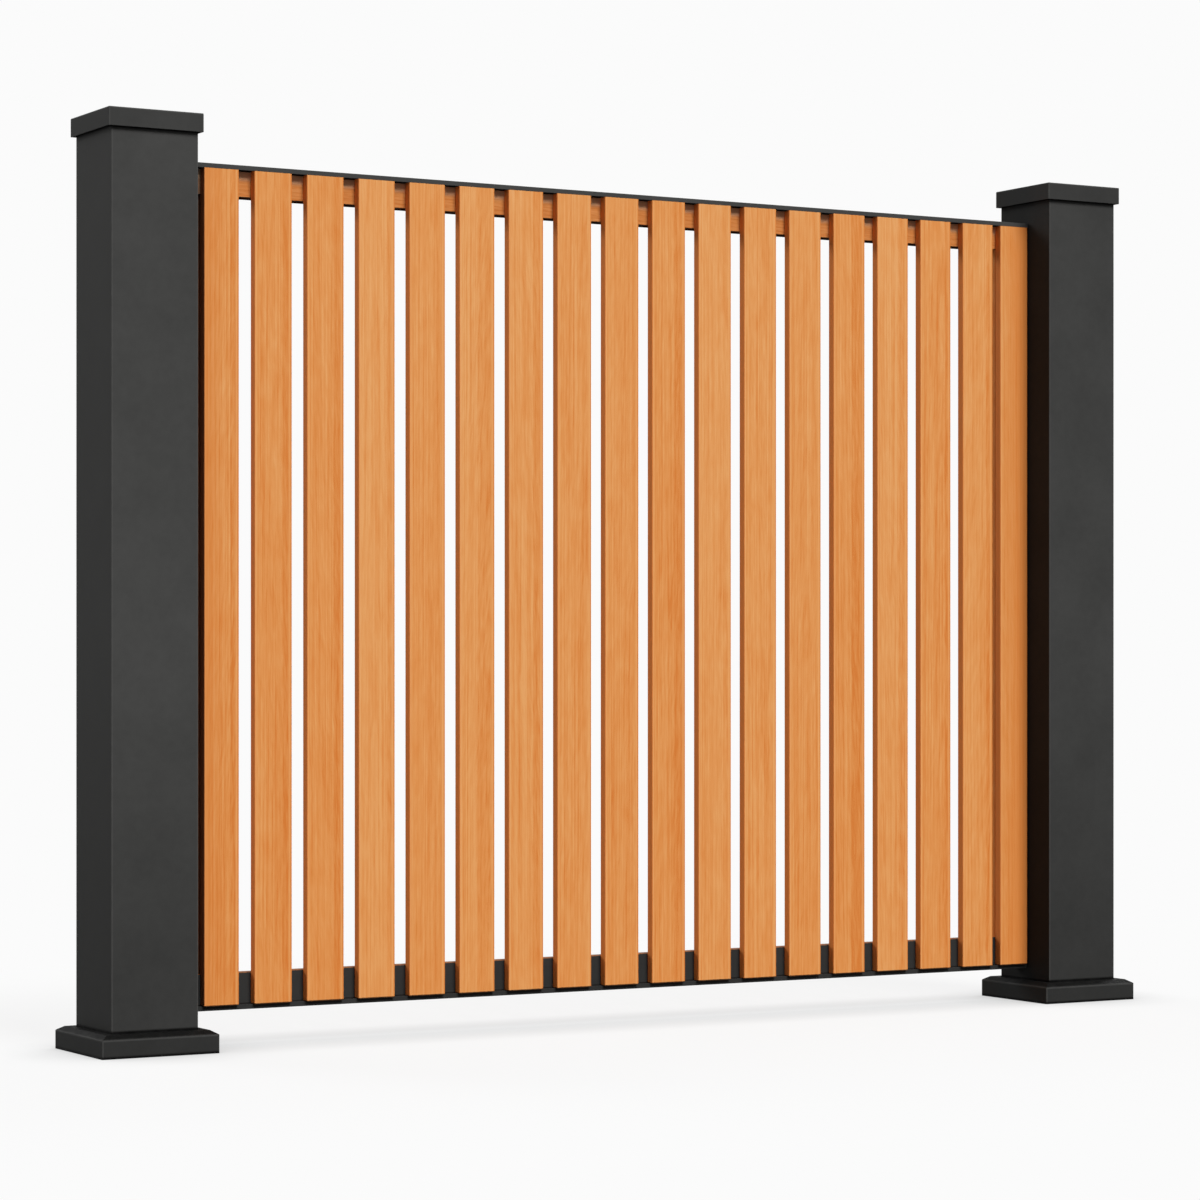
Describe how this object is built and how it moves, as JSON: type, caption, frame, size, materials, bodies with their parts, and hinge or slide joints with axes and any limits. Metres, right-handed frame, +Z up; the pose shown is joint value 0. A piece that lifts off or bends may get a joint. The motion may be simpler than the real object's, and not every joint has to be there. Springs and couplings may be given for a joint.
{
  "type": "aluminium slat fence panel",
  "caption": "Fence panel of upright wood-look aluminium slats on a light frame between two square anthracite posts with flat caps, foot skirts and anchored foot plates.",
  "frame": {"origin": "middle of the left foot plate's underside, on the ground", "axes": "+X along the fence to the right post, +Y from the slatted front to the back, +Z up"},
  "size_m": [2.055, 0.202, 1.511],
  "materials": {
    "anthracite_coat": "satin anthracite powder coat",
    "wood_look_coat": "satin wood-grain powder coat",
    "mill_aluminium": "mill finish"
  },
  "bodies": {
    "root": {"left_post": "anthracite_coat", "left_cap": "anthracite_coat", "left_skirt": "anthracite_coat", "right_post": "anthracite_coat", "right_cap": "anthracite_coat", "right_skirt": "anthracite_coat", "coping": "anthracite_coat", "sill": "anthracite_coat", "left_top_cleat": "anthracite_coat", "left_bottom_cleat": "anthracite_coat", "right_top_cleat": "anthracite_coat", "right_bottom_cleat": "anthracite_coat", "slat_01": "wood_look_coat", "slat_02": "wood_look_coat", "slat_03": "wood_look_coat", "slat_04": "wood_look_coat", "slat_05": "wood_look_coat", "slat_06": "wood_look_coat", "slat_07": "wood_look_coat", "slat_08": "wood_look_coat", "slat_09": "wood_look_coat", "slat_10": "wood_look_coat", "slat_11": "wood_look_coat", "slat_12": "wood_look_coat", "slat_13": "wood_look_coat", "slat_14": "wood_look_coat", "slat_15": "wood_look_coat", "slat_16": "wood_look_coat", "slat_17": "wood_look_coat", "slat_18": "wood_look_coat", "top_rail": "wood_look_coat", "bottom_rail": "wood_look_coat", "left_upright": "wood_look_coat", "right_upright": "wood_look_coat", "left_foot_plate": "mill_aluminium", "right_foot_plate": "mill_aluminium"}
  },
  "joints": []
}
